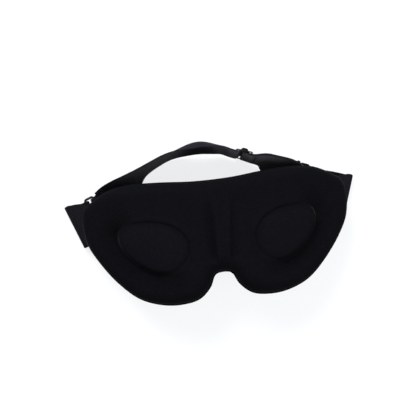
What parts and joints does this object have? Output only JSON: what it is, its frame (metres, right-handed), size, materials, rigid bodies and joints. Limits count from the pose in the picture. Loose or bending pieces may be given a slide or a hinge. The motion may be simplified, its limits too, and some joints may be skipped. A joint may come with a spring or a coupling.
{
  "type": "sleep eye mask",
  "caption": "Contoured padded sleep eye mask with raised eye cups, a nose notch, folded side wings, strap rings and an adjustable elastic head strap.",
  "frame": {"origin": "under the middle of the bounding box, on the surface that the mask rests on", "axes": "+X across the face towards the side with the slider, +Y towards the forehead, +Z out of the front of the mask"},
  "size_m": [0.25, 0.1304, 0.0528],
  "materials": {
    "outer_knit": "matte brushed fine knit",
    "foam": "open-cell foam",
    "lining_knit": "smooth knit",
    "elastic": "ribbed woven elastic",
    "black_plastic": "moulded, glossy",
    "thread": "polyester thread"
  },
  "bodies": {
    "mask": {"front_cover": "outer_knit", "foam_core": "foam", "face_lining": "lining_knit", "nose_pad": "foam", "left_eye_cup": "foam", "right_eye_cup": "foam", "left_wing": "outer_knit", "right_wing": "outer_knit", "left_wing_seam": "thread", "right_wing_seam": "thread", "left_wing_bartack": "thread", "right_wing_bartack": "thread"},
    "left_ring": {"left_ring": "black_plastic"},
    "right_ring": {"right_ring": "black_plastic"},
    "strap": {"strap": "elastic", "strap_end_bartack": "thread"},
    "slider": {"slider": "black_plastic", "slider_bartack": "thread"}
  },
  "joints": [
    {"name": "strap_swing", "type": "hinge", "parent": "mask", "child": "strap", "pos_m": [-0.09684, 0.01519, 0.00395], "axis": [-0.9985, -0.0368, -0.0393], "range_deg": [-12, 100], "deforming": ["strap"]},
    {"name": "left_ring_pivot", "type": "hinge", "parent": "mask", "child": "left_ring", "pos_m": [-0.10152, 0.01345, 0.00395], "axis": [-0.3484, 0.9367, 0.0349], "range_deg": [-6, 6], "deforming": ["strap"]},
    {"name": "right_ring_pivot", "type": "hinge", "parent": "mask", "child": "right_ring", "pos_m": [0.08062, 0.01982, 0.01075], "axis": [0.3276, 0.8808, 0.342], "range_deg": [-6, 6], "deforming": ["strap"]},
    {"name": "slider_slide", "type": "slide", "parent": "strap", "child": "slider", "axis": [-0.9449, 0.3273, 0], "range_m": [0, 0.018], "deforming": ["strap"]}
  ]
}
